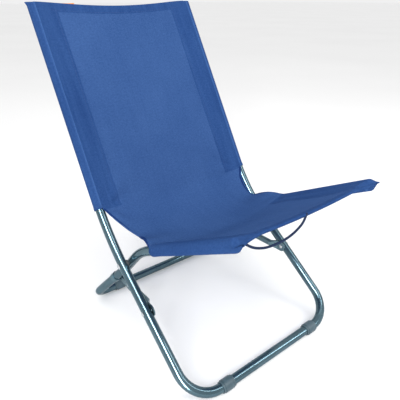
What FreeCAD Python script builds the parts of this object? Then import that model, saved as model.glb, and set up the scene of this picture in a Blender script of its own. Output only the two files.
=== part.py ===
import FreeCAD, Part
import math
import os

# Folding low beach chair: two bent steel tube frames that cross at a pair of pivots, a fabric sling
# with sleeves over the tubes, and two locking struts. Millimetres, +Z up, the sitter faces -Y, +X is
# the sitter's left. The origin is on the ground, in the middle of the chair's width and depth.

MIDDLE_Y = 299.3            # from the front ground rail's axis back to the origin

# Steel tube of both frames
TUBE_R = 11.0
TUBE_WALL = 1.2

# Main frame: front ground rail, front legs and backrest uprights in one bent tube
MAIN_HALF = 226.8           # upright's axis from the middle, below the bend
MAIN_TOP_HALF = 223.0       # the same at the top
LEG_LEAN = 55.6             # degrees from vertical
BACK_LEAN = 31.3            # degrees from vertical
LEG_LENGTH = 418.4          # rail's axis to the bend's vertex
BACK_LENGTH = 590.0         # bend's vertex to the top end
BACK_BEND_R = 470.0
FRONT_CORNER_R = 72.0

# Feet: short sleeves on the ground rails, with a narrow flat tread
RAIL_Z = 14.3               # rail's axis above the ground
FOOT_R = 14.7
FOOT_RIM_R = 13.2
FOOT_LENGTH = 32.0
FOOT_RIM = 5.0
FOOT_CLEARANCE = 0.05
FRONT_FOOT_X = 138.0
REAR_FOOT_X = 168.0

# Fold pivot, where the two frames cross
PIVOT_ALONG = 342.7         # front rail's axis to the pivot, along the leg
PIVOT_HALF = 202.8          # seat frame's axis from the middle, at the pivot
PIVOT_SHAFT_R = 3.5
PIVOT_HEAD_R = 7.0
PIVOT_HEAD_H = 2.6
SPACER_R = 9.0
RUNNING_CLEARANCE = 0.05
FACE_CLEARANCE = 0.1

# Seat frame: rear ground rail, rear legs and seat arms in one bent tube
REAR_RAIL_Y = 452.7
REAR_HALF = 246.0           # where rail and leg axes would meet, from the middle
REAR_CORNER_R = 34.0
SPLAY_DROP = 35.0           # below the pivot, along the leg, where the leg turns outward
SPLAY_BEND_R = 150.0
KNEE_RISE = 75.0            # above the pivot, along the leg, where the seat arm turns forward
KNEE_BEND_R = 230.0
ARM_TIP_HALF = 185.0
ARM_TIP_Y = -56.0
ARM_TIP_Z = 427.0

# Plugs in the tube ends
CAP_H = 3.5
CAP_STEM = 14.0

# Locking struts, on the inner side of the main frame
STRUT_ALONG = 218.0         # front rail's axis to the strut's rivet, along the leg
CATCH_Y = 300.0             # the catch pin that the strut hooks on
CATCH_Z = 130.0
STRUT_WIDTH = 18.0
STRUT_DEPTH = 16.5
STRUT_WALL = 1.2
STRUT_SEAM = 6.0            # open seam along the strut's underside
TAB_WIDTH = 28.0
TAB_THICK = 3.0
TAB_FRONT_X = 214.0         # middle plane of the riveted tab
STRUT_X = 207.1             # middle plane of the strut's body
HOOK_X = 209.5              # middle plane of the hooked tab
FRONT_TAB_REACH = 14.0
HOOK_TAB_REACH = 19.0
TAPER = 20.0
HOOK_SLOT = 7.0
HOOK_LEAN = 21.5            # degrees, the slot's mouth leans forward
STRUT_RIVET_R = 3.0
STRUT_HEAD_R = 5.5
STRUT_HEAD_H = 1.8

# Catch bracket: a strap round the rear leg with two ears that hold the catch pin
STRAP_DROP = 111.0          # pivot to the strap's middle, along the leg
STRAP_LENGTH = 16.0
STRAP_R = 12.6
EAR_GAP = 3.8
EAR_THICK = 1.5
EAR_WIDTH = 16.0
CATCH_PIN_R = 3.0
CATCH_HEAD_R = 5.0
CATCH_HEAD_H = 1.2

# Sling
SLEEVE_IN_R = 11.4
SLEEVE_OUT_R = 12.6
SLEEVE_BEND = 3.4           # degrees of the backrest's bend that the sleeve covers
SEAT_SLEEVE_REAR_Y = 176.0
SLEEVE_OVERHANG = 5.0
CLOTH = 1.6
PANEL_GAP = 0.4
CROTCH_Z = 300.0            # level of the cloth where backrest and seat meet
CROTCH_BREAK_Y = 362.0      # the seat's cloth ends here, short of the backrest's lower edge
BACK_EDGE_Y = 376.0
BACK_EDGE_Z = 307.0
CROTCH_HALF = 203.0
CROTCH_RISE_LENGTH = 36.0   # from the sleeve's rear end back to the level stretch
HEM_R = 3.6

# Orange tab in the backrest's top seam
TAG_X = -140.0
TAG_WIDTH = 46.0
TAG_HEIGHT = 16.0
TAG_THICK = 1.2
TAG_DROP = 3.5              # tab's middle below the uprights' ends, along the backrest
TAG_BEHIND = 2.0            # and behind the uprights' plane

# Cord that hangs from the seat's front hem
CORD_R = 2.25
CORD_ROUTE = [
    (-169.0, -57.0, 425.5), (-158.0, -60.0, 415.5), (-142.0, -62.0, 407.0), (-123.0, -62.5, 400.5),
    (-103.0, -62.0, 397.2), (-81.0, -62.0, 396.8), (-60.0, -62.5, 400.5), (-41.0, -62.0, 407.5),
    (-25.0, -60.5, 416.5), (-13.0, -58.0, 426.0),
]
CORD_TURN = 0.45            # share of the shorter run that an arc takes

# Tools for cutting: they only have to reach past what they cut
BLOCK = 600.0
HOLE_INNER_X = 190.0
HOLE_OUTER_X = 260.0
SLOT_CUT = 20.0
STRAP_BORE = 80.0
PLAN_MARGIN = 20.0
PLAN_TAPER = 12.0
SLEEVE_LEAD = 0.5


def place(x, y, z):
    """Point whose y is counted from the front ground rail."""
    return FreeCAD.Vector(x, y - MIDDLE_Y, z)


def slanted(degrees):
    """Unit vector in the YZ plane, back and up, at an angle from vertical."""
    angle = math.radians(degrees)
    return FreeCAD.Vector(0, math.sin(angle), math.cos(angle))


def unit(vector):
    return vector * (1.0 / vector.Length)


def bend(before, corner, after, radius):
    """Arc of the given radius, tangent to both runs that meet at the corner."""
    back = unit(before - corner)
    onward = unit(after - corner)
    half_angle = math.acos(back.dot(onward)) / 2.0
    reach = radius / math.tan(half_angle)
    centre = corner + unit(back + onward) * (radius / math.sin(half_angle))
    middle = centre + unit(corner - centre) * radius
    return Part.Arc(corner + back * reach, middle, corner + onward * reach)


def bent_path(corners, radii):
    """Wire of straight runs through the corners, with an arc at each inner corner."""
    edges = []
    start = corners[0]
    for index, radius in enumerate(radii, start=1):
        arc = bend(corners[index - 1], corners[index], corners[index + 1], radius)
        edges.append(Part.LineSegment(start, arc.StartPoint).toShape())
        edges.append(arc.toShape())
        start = arc.EndPoint
    edges.append(Part.LineSegment(start, corners[-1]).toShape())
    return Part.Wire(edges)


def swept(path, radius, bore=0.0):
    """Round bar along a path, or a tube when it has a bore."""
    edge = path.OrderedEdges[0]
    start = edge.valueAt(edge.FirstParameter)
    along = edge.tangentAt(edge.FirstParameter)
    section = Part.Face(Part.Wire([Part.makeCircle(radius, start, along)]))
    solid = path.makePipe(section)
    if bore:
        hollow = Part.Face(Part.Wire([Part.makeCircle(bore, start, along)]))
        solid = solid.cut(path.makePipe(hollow))
    return solid


def mirrored(shape):
    """The same shape on the other side of the chair."""
    return shape.mirror(FreeCAD.Vector(0, 0, 0), FreeCAD.Vector(1, 0, 0))


def flipped(point):
    return FreeCAD.Vector(-point.x, point.y, point.z)


def cross_bar(radius, x_from, x_to, centre):
    """Cylinder along X."""
    base = FreeCAD.Vector(x_from, centre.y, centre.z)
    return Part.makeCylinder(radius, x_to - x_from, base, FreeCAD.Vector(1, 0, 0))


def line(start, end):
    """Straight edge of a turned part's profile; points are (radius, height)."""
    return Part.makeLine(FreeCAD.Vector(start[0], 0, start[1]), FreeCAD.Vector(end[0], 0, end[1]))


def dome_line(radius, height):
    """Arc from the dome's rim up to its top, in a turned part's profile."""
    ball_r = (radius ** 2 + height ** 2) / (2.0 * height)
    half_turn = math.asin(radius / ball_r) / 2.0
    rim = FreeCAD.Vector(radius, 0, 0)
    middle = FreeCAD.Vector(ball_r * math.sin(half_turn), 0, height - ball_r + ball_r * math.cos(half_turn))
    return Part.Arc(rim, middle, FreeCAD.Vector(0, 0, height)).toShape()


def turned(profile, base, outward):
    """Solid turned about its own axis, which stands at base and points outward."""
    solid = Part.Face(Part.Wire(profile)).revolve(FreeCAD.Vector(0, 0, 0), FreeCAD.Vector(0, 0, 1), 360)
    solid.Placement = FreeCAD.Placement(base, FreeCAD.Rotation(FreeCAD.Vector(0, 0, 1), outward))
    return solid


def domed_head(radius, height, base, outward):
    """Rivet head with a flat face."""
    profile = [line((0, 0), (radius, 0)), dome_line(radius, height), line((0, height), (0, 0))]
    return turned(profile, base, outward)


def rivet(shaft_r, head_r, head_h, x_inner, x_outer, centre):
    """Rivet along X with a domed head at each end."""
    shaft = cross_bar(shaft_r, x_inner, x_outer, centre)
    inner_end = FreeCAD.Vector(x_inner, centre.y, centre.z)
    outer_end = FreeCAD.Vector(x_outer, centre.y, centre.z)
    inner = domed_head(head_r, head_h, inner_end, FreeCAD.Vector(-1, 0, 0))
    outer = domed_head(head_r, head_h, outer_end, FreeCAD.Vector(1, 0, 0))
    return shaft.fuse([inner, outer])


# ---------------------------------------------------------------- key points, on the +X side
leg_up = slanted(LEG_LEAN)
back_up = slanted(BACK_LEAN)
front_corner = place(MAIN_HALF, 0, RAIL_Z)
back_vertex = front_corner + leg_up * LEG_LENGTH
back_top = back_vertex + back_up * BACK_LENGTH
back_top.x = MAIN_TOP_HALF
upright = unit(back_top - back_vertex)

pivot = place(PIVOT_HALF, 0, RAIL_Z) + leg_up * PIVOT_ALONG
rear_corner = place(REAR_HALF, REAR_RAIL_Y, RAIL_Z)
rear_down = unit(FreeCAD.Vector(0, rear_corner.y - pivot.y, rear_corner.z - pivot.z))
splay_point = pivot + rear_down * SPLAY_DROP
knee = pivot - rear_down * KNEE_RISE
arm_tip = place(ARM_TIP_HALF, ARM_TIP_Y, ARM_TIP_Z)
arm_forward = unit(arm_tip - knee)
leg_splayed = unit(rear_corner - splay_point)

strut_rivet_point = place(TAB_FRONT_X, 0, RAIL_Z) + leg_up * STRUT_ALONG
catch_point = place(HOOK_X, CATCH_Y, CATCH_Z)

main_path = bent_path(
    [flipped(back_top), flipped(back_vertex), flipped(front_corner), front_corner, back_vertex, back_top],
    [BACK_BEND_R, FRONT_CORNER_R, FRONT_CORNER_R, BACK_BEND_R])
seat_path = bent_path(
    [flipped(arm_tip), flipped(knee), flipped(splay_point), flipped(rear_corner),
     rear_corner, splay_point, knee, arm_tip],
    [KNEE_BEND_R, SPLAY_BEND_R, REAR_CORNER_R, REAR_CORNER_R, SPLAY_BEND_R, KNEE_BEND_R])

parts = {}


def both_sides(name, shape):
    """A part modelled on the +X side, which is the sitter's left, and its mirror image."""
    parts[name + "_left"] = shape
    parts[name + "_right"] = mirrored(shape)


# ---------------------------------------------------------------- frames
def make_frames():
    pivot_hole = cross_bar(PIVOT_SHAFT_R, 0, 260, pivot)
    pivot_hole_free = cross_bar(PIVOT_SHAFT_R + RUNNING_CLEARANCE, 0, 260, pivot)
    strut_hole = cross_bar(STRUT_RIVET_R, 0, 260, strut_rivet_point)
    main = swept(main_path, TUBE_R, TUBE_R - TUBE_WALL)
    seat = swept(seat_path, TUBE_R, TUBE_R - TUBE_WALL)
    parts["main_frame_tube"] = main.cut(
        [pivot_hole, strut_hole, mirrored(pivot_hole), mirrored(strut_hole)])
    parts["seat_frame_tube"] = seat.cut([pivot_hole_free, mirrored(pivot_hole_free)])


def end_cap(end, outward):
    """Plastic plug: a stem in the tube and a dome over its end."""
    stem_r = TUBE_R - TUBE_WALL
    profile = [
        line((0, -CAP_STEM), (stem_r, -CAP_STEM)), line((stem_r, -CAP_STEM), (stem_r, 0)),
        line((stem_r, 0), (TUBE_R, 0)), dome_line(TUBE_R, CAP_H), line((0, CAP_H), (0, -CAP_STEM)),
    ]
    return turned(profile, end, outward)


def foot(x, y):
    """Plastic sleeve on a ground rail, thicker in its middle, with its tread on the ground."""
    axis = FreeCAD.Vector(1, 0, 0)
    start = place(x - FOOT_LENGTH / 2.0, y, RAIL_Z)
    rim = Part.makeCylinder(FOOT_RIM_R, FOOT_LENGTH, start, axis)
    body = Part.makeCylinder(FOOT_R, FOOT_LENGTH - 2 * FOOT_RIM, start + axis * FOOT_RIM, axis)
    bore = Part.makeCylinder(TUBE_R + FOOT_CLEARANCE, FOOT_LENGTH, start, axis)
    corner = start - FreeCAD.Vector(0, 2 * FOOT_R, FOOT_R + RAIL_Z)
    below = Part.makeBox(FOOT_LENGTH, 4 * FOOT_R, FOOT_R, corner)
    return rim.fuse(body).cut([bore, below])


# ---------------------------------------------------------------- fold pivot
def make_pivots():
    inner_face = PIVOT_HALF - TUBE_R - FACE_CLEARANCE
    outer_face = MAIN_HALF + TUBE_R
    both_sides("pivot_rivet", rivet(
        PIVOT_SHAFT_R, PIVOT_HEAD_R, PIVOT_HEAD_H, inner_face, outer_face, pivot))
    spacer = cross_bar(SPACER_R, PIVOT_HALF + TUBE_R + FACE_CLEARANCE, MAIN_HALF, pivot)
    upright_bar = swept(bent_path([front_corner, back_vertex, back_top], [BACK_BEND_R]), TUBE_R)
    shaft = cross_bar(PIVOT_SHAFT_R, HOLE_INNER_X, HOLE_OUTER_X, pivot)
    both_sides("pivot_spacer", spacer.cut([upright_bar, shaft]))


# ---------------------------------------------------------------- locking struts
strut_run = FreeCAD.Vector(0, catch_point.y - strut_rivet_point.y, catch_point.z - strut_rivet_point.z)
strut_length = strut_run.Length
strut_line = unit(strut_run)
strut_side = FreeCAD.Vector(0, -strut_line.z, strut_line.y)


def strut_point(x, along, up):
    base = strut_rivet_point + strut_line * along + strut_side * up
    return FreeCAD.Vector(x, base.y, base.z)


def strut_section(x, along, half_x, half_up, crown):
    """Outline across the strut: two upright sides, joined flat or by half-round crowns."""
    low = half_up - crown
    corners = [strut_point(x + side * half_x, along, up)
               for side, up in ((1, -low), (1, low), (-1, low), (-1, -low))]
    edges = []
    for index, up in ((0, None), (1, half_up), (2, None), (3, -half_up)):
        start = corners[index]
        end = corners[(index + 1) % 4]
        if up is None or not crown:
            edges.append(Part.LineSegment(start, end).toShape())
        else:
            edges.append(Part.Arc(start, strut_point(x, along, up), end).toShape())
    return Part.Wire(edges)


def flat_outline(x, along):
    return strut_section(x, along, TAB_THICK / 2.0, TAB_WIDTH / 2.0, 0)


def body_outline(along, wall=0.0):
    half_x = STRUT_DEPTH / 2.0 - wall
    return strut_section(STRUT_X, along, half_x, STRUT_WIDTH / 2.0 - wall, half_x)


def tab(x, centre, taper_start):
    """Flattened end: a disc round the hole, and the strip that joins it to the tapered part."""
    disc = Part.makeCylinder(
        TAB_WIDTH / 2.0, TAB_THICK, strut_point(x - TAB_THICK / 2.0, centre, 0), FreeCAD.Vector(1, 0, 0))
    first, last = sorted((centre, taper_start))
    strip = Part.makeLoft([flat_outline(x, first), flat_outline(x, last)], True, True)
    return disc.fuse(strip)


def make_struts():
    front_taper = FRONT_TAB_REACH
    body_start = front_taper + TAPER
    rear_taper = strut_length - HOOK_TAB_REACH
    body_end = rear_taper - TAPER
    solid = tab(TAB_FRONT_X, 0, front_taper).fuse([
        Part.makeLoft([flat_outline(TAB_FRONT_X, front_taper), body_outline(body_start)], True, True),
        Part.makeLoft([body_outline(body_start), body_outline(body_end)], True, True),
        Part.makeLoft([body_outline(body_end), flat_outline(HOOK_X, rear_taper)], True, True),
        tab(HOOK_X, strut_length, rear_taper),
    ])
    hollow = Part.makeLoft([
        body_outline(body_start, STRUT_WALL), body_outline(body_end, STRUT_WALL)], True, True)
    seam = Part.makeLoft([
        strut_section(STRUT_X, along, STRUT_SEAM / 2.0, STRUT_WIDTH, 0)
        for along in (body_start, body_end)], True, True)
    underside = Part.makeBox(BLOCK, BLOCK, BLOCK, FreeCAD.Vector(STRUT_X - BLOCK / 2.0, -BLOCK / 2.0, -BLOCK))
    underside.rotate(FreeCAD.Vector(0, 0, 0), FreeCAD.Vector(1, 0, 0), math.degrees(math.asin(strut_line.z)))
    underside.translate(FreeCAD.Vector(0, strut_rivet_point.y, strut_rivet_point.z))
    rivet_hole = cross_bar(
        STRUT_RIVET_R + RUNNING_CLEARANCE, HOLE_INNER_X, HOLE_OUTER_X, strut_rivet_point)
    slot_start = HOOK_X - SLOT_CUT / 2.0
    mouth = Part.makeBox(SLOT_CUT, HOOK_SLOT, TAB_WIDTH, FreeCAD.Vector(slot_start, -HOOK_SLOT / 2.0, 0))
    mouth = mouth.fuse(
        cross_bar(HOOK_SLOT / 2.0, slot_start, slot_start + SLOT_CUT, FreeCAD.Vector(0, 0, 0)))
    mouth.rotate(FreeCAD.Vector(0, 0, 0), FreeCAD.Vector(1, 0, 0), HOOK_LEAN)
    mouth.translate(FreeCAD.Vector(0, catch_point.y, catch_point.z))
    both_sides("lock_strut", solid.cut([hollow, seam.common(underside), rivet_hole, mouth]))
    both_sides("strut_rivet", rivet(
        STRUT_RIVET_R, STRUT_HEAD_R, STRUT_HEAD_H,
        TAB_FRONT_X - TAB_THICK / 2.0 - FACE_CLEARANCE, MAIN_HALF + TUBE_R, strut_rivet_point))


# ---------------------------------------------------------------- catch brackets on the rear legs
def make_catches():
    strap_centre = splay_point + leg_splayed * (STRAP_DROP - SPLAY_DROP)
    strap_start = strap_centre - leg_splayed * (STRAP_LENGTH / 2.0)
    strap = Part.makeCylinder(STRAP_R, STRAP_LENGTH, strap_start, leg_splayed)
    leg_start = strap_centre - leg_splayed * (STRAP_BORE / 2.0)
    leg_bar = Part.makeCylinder(TUBE_R + FOOT_CLEARANCE, STRAP_BORE, leg_start, leg_splayed)
    ears = []
    for side in (-1, 1):
        x_middle = HOOK_X + side * (EAR_GAP + EAR_THICK) / 2.0
        x_face = x_middle - EAR_THICK / 2.0
        corner = FreeCAD.Vector(x_face, catch_point.y, catch_point.z - EAR_WIDTH / 2.0)
        plate = Part.makeBox(EAR_THICK, strap_centre.y - catch_point.y, EAR_WIDTH, corner)
        nose = cross_bar(EAR_WIDTH / 2.0, x_face, x_face + EAR_THICK, catch_point)
        ears.append(plate.fuse(nose))
    pin_hole = cross_bar(CATCH_PIN_R, HOLE_INNER_X, HOLE_OUTER_X, catch_point)
    both_sides("catch_bracket", strap.fuse(ears).cut([leg_bar, pin_hole]))
    reach = EAR_GAP / 2.0 + EAR_THICK
    both_sides("catch_pin", rivet(
        CATCH_PIN_R, CATCH_HEAD_R, CATCH_HEAD_H, HOOK_X - reach, HOOK_X + reach, catch_point))


# ---------------------------------------------------------------- sling
sleeve_share = (SEAT_SLEEVE_REAR_Y - MIDDLE_Y - knee.y) / (arm_tip.y - knee.y)
sleeve_rear = knee + (arm_tip - knee) * sleeve_share


def sleeve(path):
    return swept(path, SLEEVE_OUT_R, SLEEVE_IN_R)


def back_sleeve():
    """Sleeve from a little way down the backrest's bend to just past the tube's top end."""
    reach = BACK_BEND_R * math.tan(math.radians(BACK_LEAN - LEG_LEAN) / -2.0)
    tangent_point = back_vertex + upright * reach
    half_turn = math.radians(SLEEVE_BEND) / 2.0
    corner = tangent_point - upright * (BACK_BEND_R * math.tan(half_turn))
    lower = corner - slanted(BACK_LEAN + SLEEVE_BEND) * (BACK_BEND_R * math.tan(half_turn) + SLEEVE_LEAD)
    top = back_top + upright * SLEEVE_OVERHANG
    return sleeve(bent_path([lower, corner, top], [BACK_BEND_R]))


def seat_sleeve():
    front = arm_tip + arm_forward * SLEEVE_OVERHANG
    return sleeve(Part.Wire([Part.LineSegment(sleeve_rear, front).toShape()]))


def strip(profile, half_width):
    """Cloth of even thickness that follows a line of (y, z) points, across the chair."""
    faces = []
    for (y1, z1), (y2, z2) in zip(profile, profile[1:]):
        start = place(-half_width, y1, z1)
        end = place(-half_width, y2, z2)
        along = unit(end - start)
        across = FreeCAD.Vector(0, -along.z, along.y) * (CLOTH / 2.0)
        corners = [start + across, end + across, end - across, start - across]
        face = Part.Face(Part.makePolygon(corners + corners[:1]))
        faces.append(face.extrude(FreeCAD.Vector(2 * half_width, 0, 0)))
        if (y2, z2) != profile[-1]:
            faces.append(Part.makeCylinder(CLOTH / 2.0, 2 * half_width, end, FreeCAD.Vector(1, 0, 0)))
    return faces[0].fuse(faces[1:]).removeSplitter()


def plan(outline, vertical):
    """Prism over a symmetric outline of (half width, coordinate) points, tall enough for the chair."""
    ring = list(outline) + [(-half, at) for half, at in reversed(outline)]
    if vertical:
        corners = [FreeCAD.Vector(x, -BLOCK, z) for x, z in ring]
        reach = FreeCAD.Vector(0, 2 * BLOCK, 0)
    else:
        corners = [place(x, y, 0) for x, y in ring]
        reach = FreeCAD.Vector(0, 0, BLOCK)
    return Part.Face(Part.makePolygon(corners + corners[:1])).extrude(reach)


def make_sling():
    both_sides("back_sleeve", back_sleeve())
    both_sides("seat_sleeve", seat_sleeve())
    inset = SLEEVE_OUT_R + PANEL_GAP
    bend_reach = BACK_BEND_R * math.tan(math.radians(LEG_LEAN - BACK_LEAN) / 2.0)
    bend_end = back_vertex + back_up * bend_reach
    back_line = [(back_top.y + MIDDLE_Y, back_top.z), (bend_end.y + MIDDLE_Y, bend_end.z),
                 (BACK_EDGE_Y, BACK_EDGE_Z)]
    back_plan = plan([(MAIN_HALF - inset, 0), (MAIN_HALF - inset, back_vertex.z),
                      (MAIN_TOP_HALF - inset, back_top.z + PLAN_MARGIN)], True)
    parts["back_panel"] = strip(back_line, MAIN_HALF).common(back_plan)

    widen_y = SEAT_SLEEVE_REAR_Y + CROTCH_RISE_LENGTH
    seat_line = [(arm_tip.y + MIDDLE_Y, arm_tip.z), (SEAT_SLEEVE_REAR_Y, sleeve_rear.z),
                 (widen_y, CROTCH_Z), (CROTCH_BREAK_Y, CROTCH_Z)]
    seat_plan = plan([(ARM_TIP_HALF - inset, ARM_TIP_Y - HEM_R), (ARM_TIP_HALF - inset, ARM_TIP_Y),
                      (sleeve_rear.x - inset, SEAT_SLEEVE_REAR_Y), (sleeve_rear.x - inset, widen_y),
                      (CROTCH_HALF, widen_y + PLAN_TAPER),
                      (CROTCH_HALF, CROTCH_BREAK_Y + PLAN_MARGIN)], False)
    hem = cross_bar(HEM_R, -(ARM_TIP_HALF - inset), ARM_TIP_HALF - inset, arm_tip)
    parts["seat_panel"] = strip(seat_line, MAIN_HALF).common(seat_plan).fuse(hem)


def make_tag():
    middle = back_top - back_up * TAG_DROP + slanted(BACK_LEAN + 90) * TAG_BEHIND
    tag = Part.makeBox(TAG_WIDTH, TAG_THICK, TAG_HEIGHT,
                       FreeCAD.Vector(TAG_X - TAG_WIDTH / 2.0, 0, -TAG_HEIGHT / 2.0))
    tag.rotate(FreeCAD.Vector(0, 0, 0), FreeCAD.Vector(1, 0, 0), -BACK_LEAN)
    tag.translate(FreeCAD.Vector(0, middle.y, middle.z))
    parts["seam_tag"] = tag


def make_cord():
    route = [place(*point) for point in CORD_ROUTE]
    radii = []
    for before, corner, after in zip(route, route[1:], route[2:]):
        first = corner - before
        second = after - corner
        radii.append(CORD_TURN * min(first.Length, second.Length) / math.tan(first.getAngle(second) / 2.0))
    path = bent_path(route, radii)
    cord = swept(path, CORD_R)
    parts["hem_cord"] = cord
    section = math.pi * CORD_R ** 2
    print("cord radii", [round(radius, 1) for radius in radii], "length", round(path.Length, 1),
          "volume over section times length", round(cord.Volume / (section * path.Length), 4))


make_frames()
both_sides("back_tube_cap", end_cap(back_top, upright))
both_sides("seat_tube_cap", end_cap(arm_tip, arm_forward))
both_sides("front_foot", foot(FRONT_FOOT_X, 0))
both_sides("rear_foot", foot(REAR_FOOT_X, REAR_RAIL_Y))
make_pivots()
make_struts()
make_catches()
make_sling()
make_tag()
make_cord()

for node, shape in parts.items():
    shape.exportStep("parts/" + node + ".step")

whole = Part.makeCompound(list(parts.values()))
box = whole.optimalBoundingBox()
print("nodes", len(parts))
print("box", [round(value, 2) for value in (box.XMin, box.XMax, box.YMin, box.YMax, box.ZMin, box.ZMax)])
for label, point in (("fold pivot", pivot), ("strut rivet", strut_rivet_point), ("catch pin", catch_point)):
    print(label, round(point.x, 2), round(point.y, 2), round(point.z, 2))
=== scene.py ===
import math

import bpy
import numpy as np
from mathutils import Euler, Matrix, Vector, noise


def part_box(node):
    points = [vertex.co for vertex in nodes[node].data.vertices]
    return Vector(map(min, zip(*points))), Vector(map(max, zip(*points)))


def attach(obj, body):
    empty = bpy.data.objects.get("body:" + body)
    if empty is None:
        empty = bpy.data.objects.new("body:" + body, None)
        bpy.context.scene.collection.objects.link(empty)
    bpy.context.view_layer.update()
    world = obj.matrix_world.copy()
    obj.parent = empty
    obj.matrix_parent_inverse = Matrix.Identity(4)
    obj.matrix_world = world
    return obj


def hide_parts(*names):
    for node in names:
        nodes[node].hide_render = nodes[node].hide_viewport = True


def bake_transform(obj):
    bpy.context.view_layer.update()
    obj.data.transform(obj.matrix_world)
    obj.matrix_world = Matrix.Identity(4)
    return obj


# Folding beach chair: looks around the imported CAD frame. Metres, +Z up, the sitter faces -Y.

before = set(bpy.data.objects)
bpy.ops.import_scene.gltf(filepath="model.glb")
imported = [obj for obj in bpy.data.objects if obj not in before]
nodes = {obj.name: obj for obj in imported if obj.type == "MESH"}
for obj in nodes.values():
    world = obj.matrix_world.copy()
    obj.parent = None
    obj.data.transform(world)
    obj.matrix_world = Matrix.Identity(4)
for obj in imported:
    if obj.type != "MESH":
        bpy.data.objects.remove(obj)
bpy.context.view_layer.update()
scene = bpy.context.scene


# ---------------------------------------------------------------- camera, solved from the tubes' edges
camera_data = bpy.data.cameras.new("camera")
camera_data.lens = 35.6
camera_data.sensor_width = 36.0
camera = bpy.data.objects.new("camera", camera_data)
camera.location = (-0.5413, -0.7335, 0.7716)
camera.rotation_euler = Euler((math.radians(62.85), 0.0, math.radians(-37.16)))
scene.collection.objects.link(camera)
scene.camera = camera


# ---------------------------------------------------------------- helpers
def mesh_object(name, points, faces, smooth=True):
    mesh = bpy.data.meshes.new(name)
    mesh.from_pydata([tuple(point) for point in points], [], faces)
    mesh.update()
    if smooth:
        mesh.polygons.foreach_set("use_smooth", [True] * len(mesh.polygons))
    made = bpy.data.objects.new(name, mesh)
    scene.collection.objects.link(made)
    return made


def smooth_step(value):
    value = np.clip(value, 0.0, 1.0)
    return value * value * (3.0 - 2.0 * value)


def linear(red, green, blue):
    """Scene-linear colour of an sRGB colour given as 0 to 255."""
    shares = [channel / 255.0 for channel in (red, green, blue)]
    curve = [s / 12.92 if s <= 0.04045 else ((s + 0.055) / 1.055) ** 2.4 for s in shares]
    return (*curve, 1.0)


def resample(line, pitch):
    """Points a pitch apart on a polyline, and the way each one faces."""
    line = np.asarray(line, float)
    steps = np.linalg.norm(np.diff(line, axis=0), axis=1)
    along = np.concatenate([[0.0], np.cumsum(steps)])
    count = max(int(along[-1] / pitch), 2)
    at = np.linspace(0.0, along[-1], count)
    points = np.column_stack([np.interp(at, along, line[:, axis]) for axis in range(3)])
    ways = np.gradient(points, axis=0)
    return points, ways / np.linalg.norm(ways, axis=1)[:, None]


def smooth_line(corners, steps=12):
    """Points on a smooth line through the corners."""
    corners = np.asarray(corners, float)
    ends = np.vstack([2 * corners[0] - corners[1], corners, 2 * corners[-1] - corners[-2]])
    made = []
    for a, b, c, d in zip(ends, ends[1:], ends[2:], ends[3:]):
        for step in range(steps):
            t = step / steps
            made.append(0.5 * (2 * b + (c - a) * t + (2 * a - 5 * b + 4 * c - d) * t ** 2
                               + (3 * b - a - 3 * c + d) * t ** 3))
    made.append(corners[-1])
    return made


# ---------------------------------------------------------------- cord under the seat's front hem
CORD_RADIUS = 0.00225
CORD_ROUTE = [
    (-0.169, -0.3540, 0.4258), (-0.158, -0.3593, 0.4155), (-0.142, -0.3613, 0.4070),
    (-0.123, -0.3618, 0.4005), (-0.103, -0.3613, 0.3972), (-0.081, -0.3613, 0.3968),
    (-0.060, -0.3618, 0.4005), (-0.041, -0.3613, 0.4075), (-0.025, -0.3598, 0.4165),
    (-0.013, -0.3542, 0.4262),
]
cord_data = bpy.data.curves.new("hem_cord_loop", "CURVE")
cord_data.dimensions = "3D"
cord_data.bevel_depth = CORD_RADIUS
cord_data.bevel_resolution = 5
cord_data.resolution_u = 24
cord_data.use_fill_caps = True
cord_line = cord_data.splines.new("NURBS")
cord_line.points.add(len(CORD_ROUTE) - 1)
for point, place in zip(cord_line.points, CORD_ROUTE):
    point.co = (*place, 1.0)
cord_line.order_u = 3
cord_line.use_endpoint_u = True
cord = bpy.data.objects.new("hem_cord_loop", cord_data)
scene.collection.objects.link(cord)


# ---------------------------------------------------------------- lines that the sling follows
BACK_TOP = np.array([0.2230, 0.35244, 0.75481])       # left upright's top end, on its axis
BACK_VERTEX_HALF = 0.2268                             # half width where the upright's line meets the leg's
BACK_LENGTH = 0.590                                   # down to there from the top end
BACK_LEAN = math.radians(31.3)
BEND_START = 0.4888                                   # down the upright from its top end
BEND_R = 0.470
BACK_SLEEVE_END = 0.5165                              # the sleeve's mouth, down from the top end
ARM_REAR = np.array([0.19927, -0.12330, 0.29651])     # left seat arm where its sleeve starts
ARM_TIP = np.array([0.18500, -0.35530, 0.42700])
SLEEVE_R = 0.0124                                     # middle of the cloth, from the tube's axis
SEAM_IN = 0.057                                       # sleeve's seam, in from the tube's axis
SEAM_GAP = 0.0015                                     # between the two layers at the seam
SEAM_EASE = 1.35                                      # how the cloth eases from the seam up to the tube
CLOTH = 0.0011                                        # thickness
BACK_MOUTH = math.radians(52.0)                       # where the cut round each sleeve's mouth starts
SEAT_MOUTH = math.radians(138.0)
MOUTH_SWELL = 0.0005                                  # how far a sleeve's mouth stands off the tube
MOUTH_BAND, MOUTH_RISE = 0.012, 0.003                 # over what length, and how fast it rises
TOP_NOSE, TIP_NOSE = 0.007, 0.013                     # how far the sewn ends stand past the tubes' ends
TOP_CLOSE, TIP_CLOSE = 0.0075, 0.0125                 # over what length a sleeve's sewn end flattens
NOSE_SPREAD, NOSE_TALL = 0.30, 0.0012                 # how much wider it gets there, and its half height
BACK_SAG, BACK_SAG_MORE, BACK_SAG_REACH = 0.002, 0.008, 0.45
SEAT_SAG, SEAT_SAG_MORE = 0.003, 0.013
TOP_DIP, TOP_DIP_REACH = 0.011, 0.16                  # top hem's dip in the middle, and how far down it fades
FRONT_DIP, FRONT_REACH = 0.003, 0.10                  # the same at the seat's front, besides TIP_NOSE
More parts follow.
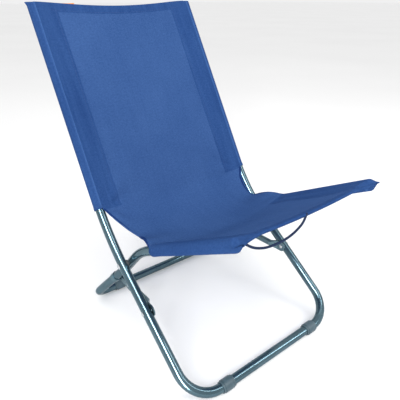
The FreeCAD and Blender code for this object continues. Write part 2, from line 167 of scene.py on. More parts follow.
FRONT_LIFT = 0.0034                                   # puts the front roll's middle on the arms' tips
CROTCH_ROWS = 38                                      # rows from the back's sleeves to the seat's
PULL_MIDDLE, PULL_LESS = 0.185, 0.105                 # roundness of the crotch, and what the edges lack of it

# Left free edge between the two sleeves, from back to front
FREE_EDGE = [
    (0.2025, 0.0557, 0.2975), (0.1965, 0.0407, 0.2895), (0.1905, 0.0257, 0.2820),
    (0.1865, 0.0107, 0.2765), (0.1825, -0.0043, 0.2725), (0.1805, -0.0193, 0.2710),
    (0.1830, -0.0343, 0.2745), (0.1890, -0.0493, 0.2835), (0.1945, -0.0643, 0.2925),
    (0.1990, -0.0820, 0.2985),
]

# columns of one side: panel, seam to tube, over the tube, round it, and back to the seam
MID, BAND, ARC, WRAP, RETURN = 30, 9, 6, 14, 8
MAIN = MID + BAND + ARC                               # the free edge beside the crotch
HALF_COLUMNS = MAIN + WRAP + RETURN


def back_axis(down):
    """Upright's axis below its top end: half width, y, z and lean."""
    half = BACK_TOP[0] + (BACK_VERTEX_HALF - BACK_TOP[0]) * down / BACK_LENGTH
    if down <= BEND_START:
        y = BACK_TOP[1] - down * math.sin(BACK_LEAN)
        z = BACK_TOP[2] - down * math.cos(BACK_LEAN)
        return half, y, z, BACK_LEAN
    lean = BACK_LEAN + (down - BEND_START) / BEND_R
    y = BACK_TOP[1] - BEND_START * math.sin(BACK_LEAN) + BEND_R * (math.cos(lean) - math.cos(BACK_LEAN))
    z = BACK_TOP[2] - BEND_START * math.cos(BACK_LEAN) - BEND_R * (math.sin(lean) - math.sin(BACK_LEAN))
    return half, y, z, lean


ARM_RUN = ARM_TIP - ARM_REAR
ARM_LENGTH = float(np.linalg.norm(ARM_RUN))
ARM_WAY = ARM_RUN / ARM_LENGTH


def half_section(half, mouth, flat, sag, swell):
    """One side of the sling across the chair, as (x, lift): panel, round the tube, and back to the seam."""
    radius = SLEEVE_R + swell
    wide = radius * (1.0 + NOSE_SPREAD * flat)
    tall = radius * (1.0 - flat) + NOSE_TALL * flat
    tangent = math.acos(SLEEVE_R / SEAM_IN)
    section = []
    for step in range(MID + 1):
        share = step / MID
        section.append((share * (half - SEAM_IN), -sag * (1.0 - share ** 2)))
    top = (half - wide * math.cos(tangent), tall * math.sin(tangent))
    for step in range(1, BAND + 1):
        share = step / BAND
        section.append((half - SEAM_IN + share * (top[0] - half + SEAM_IN), top[1] * share ** SEAM_EASE))
    for step in range(1, ARC + 1):
        angle = tangent + (mouth - tangent) * step / ARC
        section.append((half - wide * math.cos(angle), tall * math.sin(angle)))
    for step in range(1, WRAP + 1):
        angle = mouth + (2.0 * math.pi - tangent - mouth) * step / WRAP
        section.append((half - wide * math.cos(angle), tall * math.sin(angle)))
    for step in range(1, RETURN + 1):
        share = 1.0 - step / RETURN
        section.append((half - SEAM_IN + share * (top[0] - half + SEAM_IN),
                        -SEAM_GAP - (top[1] - SEAM_GAP) * share ** SEAM_EASE))
    return np.array(section)


def row_in_space(section, y, z, lean_way, shift):
    """Puts a section on its place: lift goes along the cloth's normal, shift runs down the cloth."""
    normal = np.array([lean_way[1], -lean_way[0]])
    ys = y + section[:, 1] * normal[0] + shift * lean_way[0]
    zs = z + section[:, 1] * normal[1] + shift * lean_way[1]
    return np.column_stack([section[:, 0], ys, zs])


def nose(distance, reach):
    """How flat the sleeve is at a distance from its sewn end."""
    return float(smooth_step((reach - distance) / reach))


# ---------------------------------------------------------------- sling, cut out round the sleeves' mouths
def sling_rows():
    """Rows from the top hem to the front one, closest at the sewn ends, and which of them have sleeves."""
    rows, sleeved = [], []
    downs = np.concatenate([np.linspace(-TOP_NOSE, 0.001, 8), np.linspace(0.0045, 0.020, 5),
                            np.linspace(0.026, BACK_SLEEVE_END, 84)])
    for down in downs:
        half, y, z, lean = back_axis(down)
        way = np.array([-math.sin(lean), -math.cos(lean)])
        sag = BACK_SAG + BACK_SAG_MORE * smooth_step(down / BACK_SAG_REACH)
        swell = MOUTH_SWELL * float(smooth_step((down - BACK_SLEEVE_END + MOUTH_BAND) / MOUTH_RISE))
        section = half_section(half, BACK_MOUTH, nose(down + TOP_NOSE, TOP_CLOSE), sag, swell)
        fade = 1.0 - smooth_step((down + TOP_NOSE) / TOP_DIP_REACH)
        inner = np.clip(section[:, 0] / (half - 0.010), 0.0, 1.0)
        rows.append(row_in_space(section, y, z, way, TOP_DIP * fade * (1.0 - inner ** 2) ** 1.4))
        sleeved.append(True)

    seat = []
    hops = np.concatenate([np.linspace(0.0, ARM_LENGTH - 0.012, 44),
                           np.linspace(ARM_LENGTH - 0.008, ARM_LENGTH + TIP_NOSE, 9)])
    for hop in hops:
        middle = ARM_REAR + ARM_WAY * hop
        way = np.array([ARM_WAY[1], ARM_WAY[2]]) / math.hypot(ARM_WAY[1], ARM_WAY[2])
        sag = SEAT_SAG + SEAT_SAG_MORE * (1.0 - smooth_step(hop / ARM_LENGTH))
        swell = MOUTH_SWELL * float(smooth_step((MOUTH_BAND - hop) / MOUTH_RISE))
        flat = nose(ARM_LENGTH + TIP_NOSE - hop, TIP_CLOSE)
        section = half_section(middle[0], SEAT_MOUTH, flat, sag, swell)
        fade = smooth_step((hop - ARM_LENGTH + FRONT_REACH) / (FRONT_REACH + TIP_NOSE))
        inner = np.clip(section[:, 0] / (middle[0] - 0.004), 0.0, 1.0)
        section[:MID + 1, 1] += FRONT_LIFT * fade
        section[MID + 1:MID + BAND, 1] += FRONT_LIFT * fade * np.linspace(0.9, 0.1, BAND - 1)
        dip = -(TIP_NOSE + FRONT_DIP) * fade * (1.0 - inner ** 9)
        seat.append(row_in_space(section, middle[1], middle[2], way, dip))

    # the crotch: a smooth bend from the back's last row to the seat's first, moved on to the free edge
    first, last = rows[-1], seat[0]
    into = (rows[-1] - rows[-2]) / np.linalg.norm((rows[-1] - rows[-2])[0])
    out = (seat[1] - seat[0]) / np.linalg.norm((seat[1] - seat[0])[0])
    column = np.arange(HALF_COLUMNS + 1)
    across = np.clip(column / MAIN, 0.0, 1.0)
    pull = (PULL_MIDDLE - PULL_LESS * across ** 2.2)[:, None]
    edge, _ = resample(smooth_line([first[MAIN], *FREE_EDGE, last[MAIN]]), 0.001)
    for step in range(1, CROTCH_ROWS):
        t = step / CROTCH_ROWS
        held = ((2 * t ** 3 - 3 * t ** 2 + 1) * first + (t ** 3 - 2 * t ** 2 + t) * pull * into
                + (-2 * t ** 3 + 3 * t ** 2) * last + (t ** 3 - t ** 2) * pull * out)
        target = edge[int(round(t * (len(edge) - 1)))]
        miss = target - held[MAIN]
        held[:, 0] *= 1.0 + miss[0] / held[MAIN, 0] * across ** 1.6
        held[:, 1] += miss[1] * across ** 2.0
        held[:, 2] += miss[2] * across ** 2.0
        rows.append(held)
        sleeved.append(False)
    rows += seat
    sleeved += [True] * len(seat)
    return rows, sleeved


# unevenness of the cloth: height, how often it comes across and along the cloth, and the slice of the noise
UNEVEN = [(0.0011, 9.0, 6.0, 3.1), (0.0005, 30.0, 24.0, 8.7)]
MOUTH_FOLDS = [(8.0, 0.0028), (7.0, 0.0026)]          # back's and seat's mouths: folds in a turn, height
MOUTH_X = 0.214
FOLD_START, FOLD_REACH = 0.03, 0.085                  # how far from a mouth they start and fade
FOLD_TURN = 0.9                                       # makes left and right differ


def cloth_ripple(points, along):
    """Small folds that run out of the sleeves' mouths, and a little unevenness everywhere."""
    lift = np.zeros(len(points))
    for index, (x, y, z) in enumerate(points):
        for height, often_x, often_along, slice_at in UNEVEN:
            lift[index] += height * noise.noise(Vector((x * often_x, along * often_along, slice_at)))
        for side in (-1.0, 1.0):
            for mouth, (turns, height) in zip(MOUTH_ALONG, MOUTH_FOLDS):
                out = abs(side * MOUTH_X - x)
                down = along - mouth
                reach = math.hypot(out, down)
                wave = math.cos(turns * math.atan2(down, out + 1e-6) + FOLD_TURN * side)
                fade = float(smooth_step(reach / FOLD_START)) * float(smooth_step(out / FOLD_START))
                lift[index] += height * wave * math.exp(-reach / FOLD_REACH) * fade
    return lift


HEM_TOP, HEM_FRONT = 0.0011, 0.0026                   # radius of each hem's roll
HEM_DEPTH = 0.020                                     # how far the cloth comes back under itself
HEM_ROLL_ROWS, HEM_FLAT_ROWS = 6, 4
HEM_PITCH = 0.004                                     # between a hem's rows, in the cloth's own coordinates
HEM_SHOWN, HEM_SEAM = 0.019, 0.018                    # how deep the doubled cloth shows, and where it is sewn
HEM_CALM = 0.03                                       # the ripple fades to nothing over this at a hem,
SLEEVE_CALM = 6.0                                     # over this many columns at a sleeve,
EDGE_RIPPLE = 0.6                                     # and has this share of its height near a free edge


def hem_rows(row, way, normal, radius):
    """Rows that roll the cloth over an edge and back under itself."""
    made = []
    for step in range(1, HEM_ROLL_ROWS + 1):
        angle = math.pi * step / HEM_ROLL_ROWS
        offset = way * radius * math.sin(angle) - normal * radius * (1.0 - math.cos(angle))
        made.append(row + offset)
    for step in range(1, HEM_FLAT_ROWS + 1):
        made.append(row - way * HEM_DEPTH * step / HEM_FLAT_ROWS - normal * radius * 2.0)
    return made


rows, sleeved = sling_rows()
lengths = [0.0]
for before, after in zip(rows, rows[1:]):
    lengths.append(lengths[-1] + float(np.linalg.norm(after[MID // 2] - before[MID // 2])))
back_rows = sleeved.index(False)
seat_first = len(sleeved) - sleeved[::-1].index(False)
MOUTH_ALONG = (lengths[back_rows - 1], lengths[seat_first])

top_way = np.array([0.0, math.sin(BACK_LEAN), math.cos(BACK_LEAN)])
top_normal = np.array([0.0, -math.cos(BACK_LEAN), math.sin(BACK_LEAN)])
front_way = np.array([0.0, ARM_WAY[1], ARM_WAY[2]]) / math.hypot(ARM_WAY[1], ARM_WAY[2])
front_normal = np.array([0.0, front_way[2], -front_way[1]])

# rows with their place down the cloth; the hems' rows have no sleeve columns
full = list(zip(rows, lengths, sleeved))
top_hem = hem_rows(rows[0], top_way, top_normal, HEM_TOP)
front_hem = hem_rows(rows[-1], front_way, front_normal, HEM_FRONT)
full = [(row, -HEM_PITCH * (index + 1), False) for index, row in enumerate(top_hem)][::-1] + full
full += [(row, lengths[-1] + HEM_PITCH * (index + 1), False) for index, row in enumerate(front_hem)]
TOP_HEM_ROWS = len(top_hem)
FRONT_HEM_START = len(full) - len(front_hem)


def between_hems(row_index):
    """Where the cloth may ripple and have sleeves: not on the rolled hems."""
    return TOP_HEM_ROWS <= row_index < FRONT_HEM_START


columns = list(range(-HALF_COLUMNS, HALF_COLUMNS + 1))
grid = np.zeros((len(full), len(columns), 3))
distance = np.zeros((len(full), len(columns)))
for r, (row, length, sleeve) in enumerate(full):
    for c, column in enumerate(columns):
        x, y, z = row[abs(column)]
        grid[r, c] = (math.copysign(x, column) if column else 0.0, y, z)
    steps = np.linalg.norm(np.diff(grid[r], axis=0), axis=1)
    run = np.concatenate([[0.0], np.cumsum(steps)])
    distance[r] = run - run[HALF_COLUMNS]

down_way = np.gradient(grid, axis=0)
cross_way = np.gradient(grid, axis=1)
normals = np.cross(cross_way, down_way)
lengths_of = np.linalg.norm(normals, axis=2, keepdims=True)
normals = normals / np.where(lengths_of < 1e-12, 1.0, lengths_of)
if normals[TOP_HEM_ROWS + 20, HALF_COLUMNS][1] > 0:   # they face the sitter, who faces -Y
    normals = -normals
for r, (row, length, sleeve) in enumerate(full):
    if not between_hems(r):
        continue
    ripple = cloth_ripple(grid[r], length)
    from_middle = np.abs(np.array(columns))
    inner = from_middle <= MID + BAND
    edge = smooth_step((MID + BAND - from_middle) / SLEEVE_CALM) if sleeve else 1.0
    ends = float(smooth_step((length + 0.002) / HEM_CALM) * smooth_step((lengths[-1] - length) / HEM_CALM))
    grid[r] += normals[r] * (ripple * np.where(inner, 1.0, EDGE_RIPPLE) * edge * ends)[:, None]

# faces: sleeve columns only where the row and the next one both have a sleeve
points, faces, uvs, layer = [], [], [], []
number = -np.ones(grid.shape[:2], int)


def vertex(r, c):
    if number[r, c] < 0:
        number[r, c] = len(points)
        points.append(grid[r, c])
        uvs.append((distance[r, c], full[r][1]))
    return int(number[r, c])


for r in range(len(full) - 1):
    for c in range(len(columns) - 1):
        outer = max(abs(columns[c]), abs(columns[c + 1]))
        if outer > MAIN and not (full[r][2] and full[r + 1][2]):
            continue
        if outer > MID + BAND and not between_hems(r):
            continue
        faces.append((vertex(r, c), vertex(r + 1, c), vertex(r + 1, c + 1), vertex(r, c + 1)))
        rolled = r < TOP_HEM_ROWS or r >= FRONT_HEM_START - 1
        near_top = 0 <= full[r][1] < HEM_SHOWN
        near_front = full[r][1] > lengths[-1] - HEM_SHOWN
        doubled = outer > MID and full[r][2]
        layer.append(1 if rolled or near_top or near_front or doubled else 0)

sling = mesh_object("sling", points, faces)
uv_map = sling.data.uv_layers.new(name="cloth")
loop_vertex = np.zeros(len(sling.data.loops), int)
sling.data.loops.foreach_get("vertex_index", loop_vertex)
uv_map.data.foreach_set("uv", np.array(uvs)[loop_vertex].ravel())
sling.data.polygons.foreach_set("material_index", layer)


def apply_modifiers(obj):
    """The object's mesh as its modifiers leave it."""
    bpy.context.view_layer.update()
    evaluated = obj.evaluated_get(bpy.context.evaluated_depsgraph_get())
    mesh = bpy.data.meshes.new_from_object(evaluated)
    obj.modifiers.clear()
    obj.data = mesh


thickness = sling.modifiers.new("thickness", "SOLIDIFY")
thickness.thickness = CLOTH
thickness.offset = 0.0
apply_modifiers(sling)


# ---------------------------------------------------------------- bound edges beside the crotch
BINDING_IN = 0.0026                                   # middle of the binding, in from the cloth's edge
BINDING_WIDE, BINDING_THICK = 0.0034, 0.0014          # half sizes
BINDING_END = 0.35                                    # share of its size that is left at its two ends


def oval_strip(name, line, side_ways, up_ways, wide, thick, sides=12):
    """Closed flattened tube along a line."""
    made_points, made_faces = [], []
    count = len(line)
    for index in range(count):
        shrink = BINDING_END if index in (0, count - 1) else 1.0
        for k in range(sides):
            angle = 2 * math.pi * k / sides
            made_points.append(line[index] + side_ways[index] * wide * math.cos(angle) * shrink
                               + up_ways[index] * thick * math.sin(angle) * shrink)
    for index in range(count - 1):
        for k in range(sides):
            a, b = index * sides + k, index * sides + (k + 1) % sides
            made_faces.append((a, b, b + sides, a + sides))
    made_faces.append(tuple(range(sides))[::-1])
    made_faces.append(tuple(range((count - 1) * sides, count * sides)))
    return mesh_object(name, made_points, made_faces)


free_first, free_last = TOP_HEM_ROWS + back_rows - 1, TOP_HEM_ROWS + seat_first
bindings = []
for side, label in ((1, "left"), (-1, "right")):
    edge_column = HALF_COLUMNS + side * MAIN
    inner_column = HALF_COLUMNS + side * (MAIN - 4)
    edge = grid[free_first:free_last + 1, edge_column]
    inward = grid[free_first:free_last + 1, inner_column] - edge
    inward /= np.linalg.norm(inward, axis=1)[:, None]
    along = np.gradient(edge, axis=0)
    along /= np.linalg.norm(along, axis=1)[:, None]
    up = np.cross(along, inward)
    up /= np.linalg.norm(up, axis=1)[:, None]
    bindings.append(oval_strip("edge_hem_" + label, edge + inward * BINDING_IN, inward, up,
                               BINDING_WIDE, BINDING_THICK))


# ---------------------------------------------------------------- stitching
STITCH, STITCH_PITCH = 0.0030, 0.0044
STITCH_WIDE, STITCH_TALL = 0.00042, 0.00034           # half sizes
STITCH_SIDES = 6
STITCH_PROUD = 0.0001                                 # its middle, off the cloth's face


def stitch_shape():
    """A stitch as a small rounded bar, along X, with Z off the cloth."""
    rings = [(-0.5, 0.15), (-0.42, 0.75), (-0.2, 1.0), (0.2, 1.0), (0.42, 0.75), (0.5, 0.15)]
    shape_points, shape_faces = [], []
    for at, size in rings:
        for k in range(STITCH_SIDES):
            angle = 2 * math.pi * k / STITCH_SIDES
            shape_points.append((at * STITCH, STITCH_WIDE * size * math.cos(angle),
                                 STITCH_TALL * size * math.sin(angle)))
    for ring in range(len(rings) - 1):
        for k in range(STITCH_SIDES):
            a, b = ring * STITCH_SIDES + k, ring * STITCH_SIDES + (k + 1) % STITCH_SIDES
            shape_faces.append((a, b, b + STITCH_SIDES, a + STITCH_SIDES))
    shape_faces.append(tuple(range(STITCH_SIDES))[::-1])
    shape_faces.append(tuple(range(len(shape_points) - STITCH_SIDES, len(shape_points))))
    return np.array(shape_points), shape_faces


STITCH_POINTS, STITCH_FACES = stitch_shape()


def stitch_lines(name, lines):
    """Dashed thread on each line of (points, normals)."""
    all_points, all_faces = [], []
    for line, line_normals in lines:
        where, ways = resample(line, STITCH_PITCH)
        share = np.linspace(0.0, 1.0, len(where))
        source = np.linspace(0.0, 1.0, len(line))
        ups = np.column_stack([np.interp(share, source, line_normals[:, axis]) for axis in range(3)])
        for middle, way, up in zip(where, ways, ups):
            up = up - way * np.dot(up, way)
            up /= np.linalg.norm(up)
            cross = np.cross(up, way)
            base = len(all_points)
            lifted = middle + up * (CLOTH / 2 + STITCH_PROUD)
            for px, py, pz in STITCH_POINTS:
                all_points.append(lifted + way * px + cross * py + up * pz)
            all_faces += [tuple(index + base for index in face) for face in STITCH_FACES]
    return mesh_object(name, all_points, all_faces)


def column_line(column, first, last):
    c = HALF_COLUMNS + column
    return grid[first:last, c], normals[first:last, c]


def row_line(r, columns_used):
    return grid[r, columns_used], normals[r, columns_used]


def row_at(length):
    places = [item[1] for item in full]
    return int(np.argmin(np.abs(np.array(places) - length)))


back_end, seat_start = TOP_HEM_ROWS + back_rows, TOP_HEM_ROWS + seat_first
thread_lines = []
for side in (-1, 1):
    thread_lines.append(column_line(side * (MID + 1), TOP_HEM_ROWS + 1, back_end))
    thread_lines.append(column_line(side * (MID + 1), seat_start, FRONT_HEM_START - 1))
hem_columns = HALF_COLUMNS + np.arange(-MID - 4, MID + 5)
thread_lines.append(row_line(row_at(HEM_SEAM), hem_columns))
thread_lines.append(row_line(row_at(lengths[-1] - HEM_SEAM), hem_columns))
for side in (-1, 1):
    thread_lines.append(column_line(side * (MAIN - 3), back_end - 1, seat_start + 1))
    around = np.arange(MAIN - ARC, MAIN + WRAP + 1) * side + HALF_COLUMNS
    for mouth_row in (back_end - 2, seat_start + 2):
        thread_lines.append(row_line(mouth_row, around))
stitching = stitch_lines("sling_stitching", thread_lines)


# ---------------------------------------------------------------- folded ribbon tab behind the top hem
tag_low, tag_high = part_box("seam_tag")
TAG_WIDTH, TAG_TALL = 0.044, 0.0155
TAG_RAISE = 0.0012                                    # up the backrest, so that its edge shows over the hem
TAG_LEAF, TAG_FOLD = 0.92, 0.42                       # a leaf's length and the fold's place, of TAG_TALL
TAG_HALF_GAP, TAG_FOLD_R = 0.0005, 0.0006
TAG_BULGE = 0.0004
TAG_THICK = 0.0005
TAG_STEPS, TAG_COLUMNS = 6, 22
tag_middle = (np.array(tag_low) + np.array(tag_high)) / 2.0 + top_way * TAG_RAISE
tag_points, tag_faces = [], []
profile = []
for step in range(TAG_STEPS + 1):
    profile.append((-TAG_TALL / 2 + TAG_TALL * TAG_LEAF * step / TAG_STEPS,
                    -TAG_HALF_GAP - TAG_BULGE * math.sin(math.pi * step / TAG_STEPS)))
for step in range(1, TAG_STEPS):
    angle = math.pi * step / TAG_STEPS
    profile.append((TAG_TALL * TAG_FOLD + TAG_FOLD_R * math.sin(angle), -TAG_HALF_GAP * math.cos(angle)))
for step in range(TAG_STEPS + 1):
    profile.append((TAG_TALL * TAG_FOLD - TAG_TALL * TAG_LEAF * step / TAG_STEPS,
                    TAG_HALF_GAP + TAG_BULGE * math.sin(math.pi * step / TAG_STEPS)))
for step in range(TAG_COLUMNS + 1):
    x = tag_middle[0] - TAG_WIDTH / 2 + TAG_WIDTH * step / TAG_COLUMNS
    bow = TAG_BULGE * math.sin(step * 0.55)
    for up, out in profile:
        middle = np.array([x, tag_middle[1], tag_middle[2]])
        tag_points.append(middle + top_way * up - top_normal * (out + bow))
for i in range(TAG_COLUMNS):
    for k in range(len(profile) - 1):
        a = i * len(profile) + k
        tag_faces.append((a, a + 1, a + 1 + len(profile), a + len(profile)))
tag = mesh_object("ribbon_tab", tag_points, tag_faces)
ribbon = tag.modifiers.new("thickness", "SOLIDIFY")
ribbon.thickness = TAG_THICK
ribbon.offset = 0.0
apply_modifiers(tag)


# ---------------------------------------------------------------- materials
class Finish:
    """A material with short calls for its nodes."""

    def __init__(self, name, **sockets):
        self.material = bpy.data.materials.new(name)
        self.material.use_nodes = True
        self.tree = self.material.node_tree
        self.shader = self.tree.nodes["Principled BSDF"]
        for socket, value in sockets.items():
            self.shader.inputs[socket.replace("_", " ")].default_value = value

    def node(self, kind, settings=None, **inputs):
        made = self.tree.nodes.new(kind)
        for key, value in (settings or {}).items():
            setattr(made, key, value)
        for key, value in inputs.items():
            socket = made.inputs[key.replace("_", " ")]
            if isinstance(value, bpy.types.NodeSocket):
                self.tree.links.new(value, socket)
            else:
                socket.default_value = value
        return made

    def coordinate(self, output="Object"):
        return self.node("ShaderNodeTexCoord").outputs[output]

    def noise(self, vector, scale, detail=3.0, rough=0.5):
        made = self.node("ShaderNodeTexNoise", Vector=vector, Scale=scale, Detail=detail, Roughness=rough)
        return made.outputs["Fac"]

    def maths(self, operation, first, second):
        made = self.tree.nodes.new("ShaderNodeMath")
        made.operation = operation
        for index, value in enumerate((first, second)):
            if isinstance(value, bpy.types.NodeSocket):
                self.tree.links.new(value, made.inputs[index])
            else:
                made.inputs[index].default_value = value
        return made.outputs[0]

    def ramp(self, factor, stops):
        made = self.node("ShaderNodeValToRGB", Fac=factor)
        elements = made.color_ramp.elements
        while len(elements) < len(stops):
            elements.new(0.5)
        for element, (at, colour) in zip(elements, stops):
            element.position = at
            element.color = colour
        return made.outputs["Color"]

    def bump(self, height, distance, strength=1.0):
        made = self.node("ShaderNodeBump", Height=height, Distance=distance, Strength=strength)
        self.tree.links.new(made.outputs["Normal"], self.shader.inputs["Normal"])

    def colour(self, socket):
        self.tree.links.new(socket, self.shader.inputs["Base Color"])

    def roughness(self, socket):
        self.tree.links.new(socket, self.shader.inputs["Roughness"])


CREST = 0.2325                                        # tube's crest under the cloth, across the sheet
CREST_SPREAD = 0.0064                                 # and how it moves out down the backrest
CREST_HALF = 0.0055                                   # half width of the painted highlight line on it
WEAVE_TONE, SLUB_TONE = 0.16, 0.45                    # what the weave and the uneven thread do to the tone
WEAVE_BUMP, SLUB_BUMP = 0.5, 0.35                     # and to the surface


def woven(name, dark, light, pitch, worn, crest=0.0, fold_shade=0.0):
    """Plain-woven cloth, warp and weft threads over the sheet's own coordinates. The last two settings paint
    light and
    shade: a highlight on the uprights' crests under the cloth, and light and dark streaks as the shading of
    soft folds."""
    made = Finish(name, Roughness=0.9, Sheen_Weight=0.03, Sheen_Roughness=0.5,
                  Sheen_Tint=(0.10, 0.24, 0.70, 1.0), Specular_IOR_Level=0.02)
    uv = made.coordinate("UV")
    split = made.node("ShaderNodeSeparateXYZ", Vector=uv)
    turn = 2.0 * math.pi / pitch
    warp = made.maths("SINE", made.maths("MULTIPLY", split.outputs["X"], turn), 0.0)
    weft = made.maths("SINE", made.maths("MULTIPLY", split.outputs["Y"], turn), 0.0)
    weave = made.maths("MULTIPLY", warp, weft)
    broad = made.noise(uv, 5.5, 4.0, 0.55)
    slub = made.noise(uv, 210.0, 2.0, 0.6)
    shade = made.maths("ADD", made.maths("MULTIPLY", weave, WEAVE_TONE),
                       made.maths("MULTIPLY", slub, SLUB_TONE))
    shade = made.maths("ADD", shade, made.maths("MULTIPLY", broad, worn))
    # painted highlight: a lighter line where the cloth lies over an upright's crest
    if crest:
        across = made.maths("SUBTRACT", made.maths("ABSOLUTE", split.outputs["X"], 0.0), CREST)
        across = made.maths("SUBTRACT", across, made.maths("MULTIPLY", split.outputs["Y"], CREST_SPREAD))
        away = made.maths("DIVIDE", made.maths("ABSOLUTE", across, 0.0), CREST_HALF)
        crest_highlight = made.maths("MAXIMUM", made.maths("SUBTRACT", 1.0, away), 0.0)
        patchy = made.maths("ADD", made.maths("MULTIPLY", made.noise(uv, 60.0, 3.0), 0.9), 0.35)
        crest_highlight = made.maths("MULTIPLY", made.maths("MULTIPLY", crest_highlight, patchy), crest)
        shade = made.maths("ADD", shade, crest_highlight)
    # painted shade and light: lighter and darker streaks that stand in for long soft folds
    if fold_shade:
        long_way = made.node("ShaderNodeMapping", Vector=uv, Scale=(70.0, 5.0, 1.0))
        streak = made.noise(long_way.outputs["Vector"], 1.0, 2.0)
        shade = made.maths("ADD", shade, made.maths("MULTIPLY", made.maths("SUBTRACT", streak, 0.5), fold_shade))
    made.colour(made.ramp(shade, [(0.12, dark), (0.95, light)]))
    height = made.maths("ADD", made.maths("MULTIPLY", weave, WEAVE_BUMP),
                        made.maths("MULTIPLY", slub, SLUB_BUMP))
    made.bump(height, 0.00035, 0.7)
    made.roughness(made.maths("ADD", made.maths("MULTIPLY", broad, 0.14), 0.80))
    return made.material


def painted(name, dark, light, rough, metallic, peel=0.00006):
    """Glossy paint on steel: slight orange peel, uneven tone and a few dull scuffs."""
    made = Finish(name, Metallic=metallic, Coat_Weight=0.35, Coat_Roughness=0.05,
                  Specular_Tint=(0.22, 0.32, 0.36, 1.0))
    spot = made.coordinate()
    tone = made.noise(spot, 14.0, 4.0, 0.55)
    made.colour(made.ramp(tone, [(0.3, dark), (0.75, light)]))
    scuff = made.ramp(made.noise(spot, 90.0, 5.0, 0.7),
                      [(0.60, (0.0, 0.0, 0.0, 1.0)), (0.72, (1.0, 1.0, 1.0, 1.0))])
    made.roughness(made.maths("ADD", made.maths("MULTIPLY", scuff, 0.16), rough))
    made.bump(made.noise(spot, 420.0, 2.0, 0.5), peel, 0.2)
    return made.material


def moulded(name, dark, light, rough):
    """Moulded plastic with a fine grain."""
    made = Finish(name, Specular_IOR_Level=0.5)
    spot = made.coordinate()
    made.colour(made.ramp(made.noise(spot, 30.0, 4.0, 0.6), [(0.3, dark), (0.7, light)]))
    grain = made.node("ShaderNodeTexVoronoi", Vector=spot, Scale=1500.0).outputs["Distance"]
    made.bump(grain, 0.00008, 0.6)
    made.roughness(made.maths("ADD", made.maths("MULTIPLY", made.noise(spot, 60.0), 0.15), rough))
    return made.material


def braided(name, dark, light):
    """Braided cord: two crossing spirals of strands."""
    made = Finish(name, Roughness=0.7, Specular_IOR_Level=0.15)
    spot = made.coordinate()
    waves = []
    for turn in (0.9, -0.9):
        mapped = made.node("ShaderNodeMapping", Vector=spot, Rotation=(0.0, turn, 0.4))
        waves.append(made.node("ShaderNodeTexWave", Vector=mapped.outputs["Vector"], Scale=190.0,
                               Distortion=0.6).outputs["Fac"])
    strands = made.maths("MULTIPLY", waves[0], waves[1])
    made.colour(made.ramp(strands, [(0.0, dark), (0.8, light)]))
    made.bump(strands, 0.0004, 0.8)
    return made.material


THREAD, FINE_THREAD, TAPE_THREAD = 0.0011, 0.0008, 0.0009
# sheet: faint painted fold shading in streaks
CLOTH_MATERIAL = woven("sling_cloth", linear(33, 62, 112), linear(76, 108, 160), THREAD, 0.34, fold_shade=0.10)
# hem: a painted highlight along the crests, and stronger painted fold shading
HEM_MATERIAL = woven("sling_hem", linear(26, 54, 104), linear(64, 98, 152), THREAD, 0.28,
                     crest=0.55, fold_shade=0.34)
TAG_MATERIAL = woven("tag_cloth", linear(206, 118, 30), linear(242, 168, 76), FINE_THREAD, 0.2)
THREAD_MATERIAL = braided("thread", linear(34, 58, 104), linear(72, 100, 154))
CORD_MATERIAL = braided("cord_braid", linear(9, 22, 48), linear(28, 52, 92))
PAINT = painted("frame_paint", linear(58, 82, 92), linear(84, 108, 118), 0.15, 0.7)
STRUT_PAINT = painted("strut_paint", linear(74, 98, 108), linear(104, 130, 140), 0.24, 0.7)
# the bound edges' tape, set darker than the hem: painted shade along the free edges
SHADED_EDGE_MATERIAL = woven("edge_binding_shaded", linear(14, 36, 84), linear(38, 70, 128), TAPE_THREAD, 0.2)
STEEL = painted("rivet_steel", linear(176, 180, 184), linear(214, 216, 220), 0.26, 1.0, 0.00004)
FOOT = moulded("foot_plastic", linear(48, 70, 80), linear(72, 94, 104), 0.38)
PLUG = moulded("plug_plastic", linear(30, 36, 40), linear(50, 56, 60), 0.5)

by_start = {
    "main_frame_tube": PAINT, "seat_frame_tube": PAINT,
    "lock_strut": STRUT_PAINT, "catch_bracket": STRUT_PAINT,
    "catch_pin": STEEL, "pivot_rivet": STEEL, "strut_rivet": STEEL, "pivot_spacer": PLUG,
    "front_foot": FOOT, "rear_foot": FOOT, "back_tube_cap": PLUG, "seat_tube_cap": PLUG,
}
for name, node in nodes.items():
    for start, finish in by_start.items():
        if name.startswith(start):
            node.data.materials.clear()
            node.data.materials.append(finish)

sling.data.materials.append(CLOTH_MATERIAL)
sling.data.materials.append(HEM_MATERIAL)
for binding in bindings:
    binding.data.materials.append(SHADED_EDGE_MATERIAL)
stitching.data.materials.append(THREAD_MATERIAL)
tag.data.materials.append(TAG_MATERIAL)
cord.data.materials.append(CORD_MATERIAL)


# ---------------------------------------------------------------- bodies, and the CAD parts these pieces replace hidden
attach(cord, "seat_frame")
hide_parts("hem_cord")

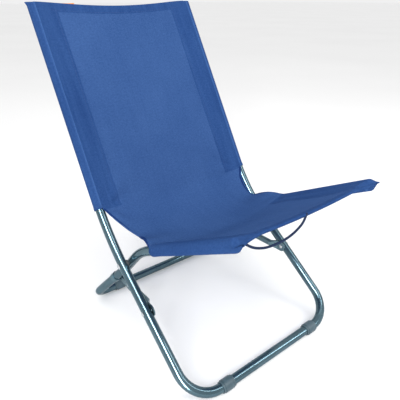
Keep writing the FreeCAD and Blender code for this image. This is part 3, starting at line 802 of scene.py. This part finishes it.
for piece in [sling, stitching, *bindings]:
    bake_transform(piece)
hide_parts("back_panel", "seat_panel", "back_sleeve_left", "back_sleeve_right",
            "seat_sleeve_left", "seat_sleeve_right")
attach(tag, "main_frame")
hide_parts("seam_tag")


# ---------------------------------------------------------------- floor and light
FLOOR_HALF = 60.0
floor = mesh_object("floor", [(-FLOOR_HALF, -FLOOR_HALF, 0), (FLOOR_HALF, -FLOOR_HALF, 0),
                              (FLOOR_HALF, FLOOR_HALF, 0), (-FLOOR_HALF, FLOOR_HALF, 0)],
                    [(0, 1, 2, 3)], smooth=False)
floor_finish = Finish("floor", Roughness=0.85)
floor_finish.colour(floor_finish.ramp(floor_finish.noise(floor_finish.coordinate(), 0.6),
                                      [(0.3, (0.93, 0.93, 0.93, 1.0)), (0.7, (0.96, 0.96, 0.96, 1.0))]))
floor.data.materials.append(floor_finish.material)

world = bpy.data.worlds.new("studio")
world.use_nodes = True
world.node_tree.nodes["Background"].inputs["Color"].default_value = (1.0, 1.0, 1.0, 1.0)
world.node_tree.nodes["Background"].inputs["Strength"].default_value = 0.88
scene.world = world
scene.view_settings.view_transform = "Standard"


def area_light(name, place, aim, size, power, gloss_only=False):
    """Rectangular lamp. A gloss_only one shows as a streak on the tubes and lights no diffuse surface."""
    data = bpy.data.lights.new(name, "AREA")
    data.shape = "RECTANGLE"
    data.size, data.size_y = size
    data.energy = power
    lamp = bpy.data.objects.new(name, data)
    lamp.visible_diffuse = not gloss_only
    lamp.location = place
    lamp.rotation_euler = (Vector(aim) - Vector(place)).to_track_quat("-Z", "Y").to_euler()
    scene.collection.objects.link(lamp)


area_light("key", (-1.8, -1.5, 1.7), (0.0, 0.0, 0.35), (0.30, 1.9), 50.0)
area_light("gloss", (-1.75, -1.75, 1.75), (0.0, 0.0, 0.35), (0.60, 4.6), 260.0, gloss_only=True)
area_light("top", (0.1, -0.4, 2.5), (0.0, -0.1, 0.3), (1.8, 1.8), 10.0)
area_light("rim", (1.5, -1.7, 1.9), (0.0, 0.0, 0.30), (0.25, 1.8), 22.0)
